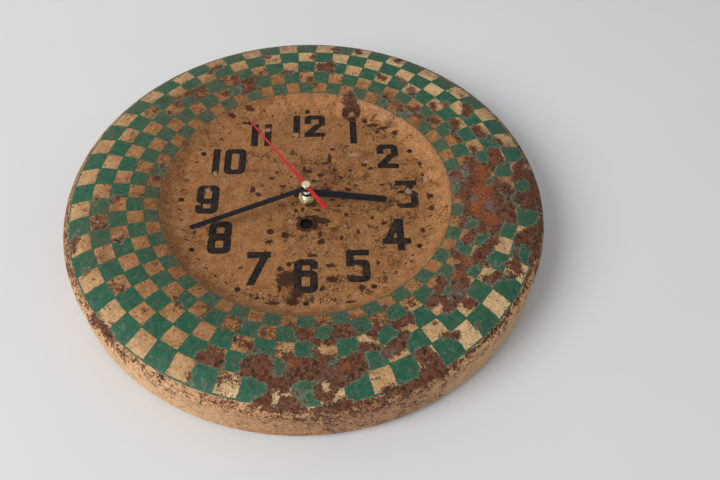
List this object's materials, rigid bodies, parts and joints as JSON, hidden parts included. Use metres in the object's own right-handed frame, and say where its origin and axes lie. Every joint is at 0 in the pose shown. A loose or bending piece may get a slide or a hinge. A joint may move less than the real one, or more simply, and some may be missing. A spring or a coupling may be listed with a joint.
{
  "type": "wall clock",
  "caption": "Round wall clock in a dished pressed-steel case with a checkered border, three hands and a battery quartz movement that turns them.",
  "frame": {"origin": "on the axis of the hands, in the plane of the case's rear rest face", "axes": "+Z out of the dial along the hands' axis, +Y towards 12 o'clock, +X towards 3 o'clock"},
  "size_m": [0.35, 0.35, 0.0463],
  "materials": {
    "case_paint": "worn matt enamel over rusted steel",
    "plain_steel": "dull, lightly oxidised",
    "bright_steel": "bright nickel plate",
    "brass": "bright lacquered brass",
    "hand_black": "satin black enamel",
    "hand_red": "satin red enamel",
    "rubber": "matt",
    "housing_plastic": "fine moulded grain",
    "wheel_plastic": "satin acetal",
    "knob_plastic": "satin moulded",
    "battery_jacket": "glossy shrink film",
    "board_green": "solder mask",
    "chip_black": "epoxy blob",
    "copper_wire": "enamelled wire",
    "magnet_gray": "sintered"
  },
  "bodies": {
    "case": {"dial_case": "case_paint", "hanging_bracket": "plain_steel", "bracket_rivets": "bright_steel", "rubber_gasket": "rubber", "hex_nut": "brass", "threaded_bushing": "brass", "movement_housing": "housing_plastic", "movement_back_cover": "housing_plastic", "cover_screws": "bright_steel", "battery_positive_contact": "bright_steel", "battery_negative_spring": "bright_steel", "circuit_board": "board_green", "driver_chip": "chip_black", "quartz_crystal": "bright_steel", "coil_bobbin": "wheel_plastic", "coil_winding": "copper_wire", "coil_core": "plain_steel", "stator_plate": "plain_steel"},
    "second_hand_body": {"second_hand": "hand_red", "second_hand_tube": "bright_steel", "second_hand_cap": "brass", "second_wheel": "wheel_plastic"},
    "minute_hand_body": {"minute_hand": "hand_black", "minute_hand_bushing": "bright_steel", "minute_pipe": "bright_steel"},
    "hour_hand_body": {"hour_hand": "hand_black", "hour_hand_bushing": "bright_steel", "hour_wheel": "brass"},
    "rotor_body": {"rotor_pinion": "wheel_plastic", "rotor_magnet": "magnet_gray"},
    "fifth_wheel_body": {"fifth_wheel": "wheel_plastic"},
    "third_wheel_body": {"third_wheel": "wheel_plastic"},
    "center_wheel_body": {"center_wheel": "wheel_plastic"},
    "minute_wheel_body": {"minute_wheel": "wheel_plastic"},
    "setting_knob_body": {"setting_knob": "knob_plastic"},
    "battery_body": {"battery": "battery_jacket"}
  },
  "joints": [
    {"name": "second_hand_spin", "type": "hinge", "parent": "case", "child": "second_hand_body", "pos_m": [0, 0, 0], "axis": [0, 0, -1], "continuous": true},
    {"name": "rotor_spin", "type": "hinge", "parent": "case", "child": "rotor_body", "pos_m": [0.01525, 0.00375, 0], "axis": [0, 0, -1], "continuous": true},
    {"name": "fifth_wheel_spin", "type": "hinge", "parent": "case", "child": "fifth_wheel_body", "pos_m": [0.00875, 0, 0], "axis": [0, 0, -1], "continuous": true},
    {"name": "third_wheel_spin", "type": "hinge", "parent": "case", "child": "third_wheel_body", "pos_m": [-0.0045, 0.00779, 0], "axis": [0, 0, -1], "continuous": true},
    {"name": "center_wheel_spin", "type": "hinge", "parent": "case", "child": "center_wheel_body", "pos_m": [0, 0, 0], "axis": [0, 0, -1], "continuous": true},
    {"name": "minute_hand_spin", "type": "hinge", "parent": "case", "child": "minute_hand_body", "pos_m": [0, 0, 0], "axis": [0, 0, -1], "continuous": true},
    {"name": "hour_hand_spin", "type": "hinge", "parent": "case", "child": "hour_hand_body", "pos_m": [0, 0, 0], "axis": [0, 0, -1], "continuous": true},
    {"name": "minute_wheel_spin", "type": "hinge", "parent": "case", "child": "minute_wheel_body", "pos_m": [-0.009, 0, 0], "axis": [0, 0, -1], "continuous": true},
    {"name": "setting_knob_spin", "type": "hinge", "parent": "case", "child": "setting_knob_body", "pos_m": [-0.01679, 0.0045, 0], "axis": [0, 0, -1], "continuous": true},
    {"name": "battery_lift", "type": "slide", "parent": "case", "child": "battery_body", "axis": [0, 0, -1], "range_m": [0, 0.012]}
  ],
  "couplings": [
    {"joint": "fifth_wheel_spin", "follows": "second_hand_spin", "ratio": -6},
    {"joint": "rotor_spin", "follows": "second_hand_spin", "ratio": 30},
    {"joint": "third_wheel_spin", "follows": "second_hand_spin", "ratio": -0.125},
    {"joint": "center_wheel_spin", "follows": "second_hand_spin", "ratio": 0.016667},
    {"joint": "minute_wheel_spin", "follows": "minute_hand_spin", "ratio": -0.33333},
    {"joint": "hour_hand_spin", "follows": "minute_hand_spin", "ratio": 0.083333},
    {"joint": "setting_knob_spin", "follows": "minute_hand_spin", "ratio": 1}
  ]
}
